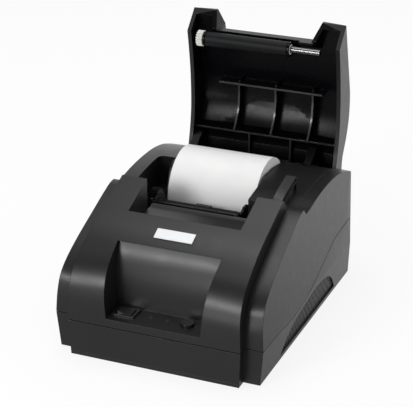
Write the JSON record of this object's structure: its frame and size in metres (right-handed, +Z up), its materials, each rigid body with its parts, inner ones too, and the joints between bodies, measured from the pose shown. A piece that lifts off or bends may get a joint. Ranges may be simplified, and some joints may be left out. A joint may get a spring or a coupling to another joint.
{
  "type": "receipt printer",
  "caption": "Desktop thermal receipt printer with its paper cover swung open over a drop-in roll, with platen roller, print head and gear train.",
  "frame": {"origin": "on the table, under the middle of the case's width; the front of the case is 93.5 mm forward of it and the back 86 mm behind", "axes": "+X to the printer's left-to-right as seen by the user, +Y from front to back, +Z up"},
  "size_m": [0.128, 0.1972, 0.1584],
  "materials": {
    "shell": "fine satin texture",
    "bin": "satin",
    "steel": "bright",
    "zinc": "zinc plated",
    "plate": "gloss",
    "head": "glazed",
    "alloy": "satin",
    "gear_plastic": "satin",
    "roller": "ground matt",
    "brass": "turned",
    "board": "solder mask",
    "socket": "satin",
    "switch": "semi gloss",
    "lens": "clear",
    "feet": "matt",
    "paper": "smooth",
    "core": "matt"
  },
  "bodies": {
    "case": {"lower_case": "shell", "base_plate": "shell", "upper_case": "shell", "top_deck": "shell", "side_panel_left": "shell", "side_panel_right": "shell", "head_cover": "shell", "paper_bin": "bin", "hinge_pins": "steel", "name_plate": "plate", "tear_bar": "steel", "mechanism_frame": "zinc", "print_head": "head", "head_heatsink": "alloy", "head_springs": "steel", "stepper_motor": "zinc", "gear_pin": "steel", "paper_sensor": "bin", "main_board": "board", "power_jack": "socket", "usb_port": "steel", "drawer_jack": "socket", "switch_housing": "switch", "status_lights": "lens", "control_board": "board", "rubber_feet": "feet", "case_screws": "steel"},
    "lid": {"lid_shell": "shell", "platen_bracket": "bin", "platen_bushings": "gear_plastic"},
    "roller": {"platen_shaft": "steel", "platen_rubber": "roller", "platen_gear": "gear_plastic"},
    "idler": {"idler_gear": "gear_plastic"},
    "pinion": {"motor_pinion": "brass"},
    "roll": {"paper_roll": "paper", "paper_core": "core"},
    "rocker": {"power_rocker": "switch"},
    "button": {"feed_button": "switch"}
  },
  "joints": [
    {"name": "lid_hinge", "type": "hinge", "parent": "case", "child": "lid", "pos_m": [0, 0.07, 0.066], "axis": [1, 0, 0], "range_deg": [0, 87.5]},
    {"name": "platen_spin", "type": "hinge", "parent": "lid", "child": "roller", "pos_m": [-0.009, 0.07211, 0.14367], "axis": [1, 0, 0], "continuous": true},
    {"name": "idler_spin", "type": "hinge", "parent": "case", "child": "idler", "pos_m": [-0.0398, 0.00004, 0.06145], "axis": [1, 0, 0], "continuous": true},
    {"name": "pinion_spin", "type": "hinge", "parent": "case", "child": "pinion", "pos_m": [-0.0398, -0.00976, 0.05633], "axis": [1, 0, 0], "continuous": true},
    {"name": "roll_spin", "type": "hinge", "parent": "case", "child": "roll", "pos_m": [-0.009, 0.039, 0.0575], "axis": [1, 0, 0], "continuous": true},
    {"name": "power_rocker_tilt", "type": "hinge", "parent": "case", "child": "rocker", "pos_m": [-0.0215, -0.0819, 0.0265], "axis": [0, 1, 0], "range_deg": [-16, 0]},
    {"name": "feed_press", "type": "slide", "parent": "case", "child": "button", "axis": [0, 0, -1], "range_m": [0, 0.0008], "stiffness_N_per_m": 300, "springref_m": -0.001}
  ],
  "couplings": [
    {"joint": "pinion_spin", "follows": "idler_spin", "ratio": -2.6667}
  ]
}
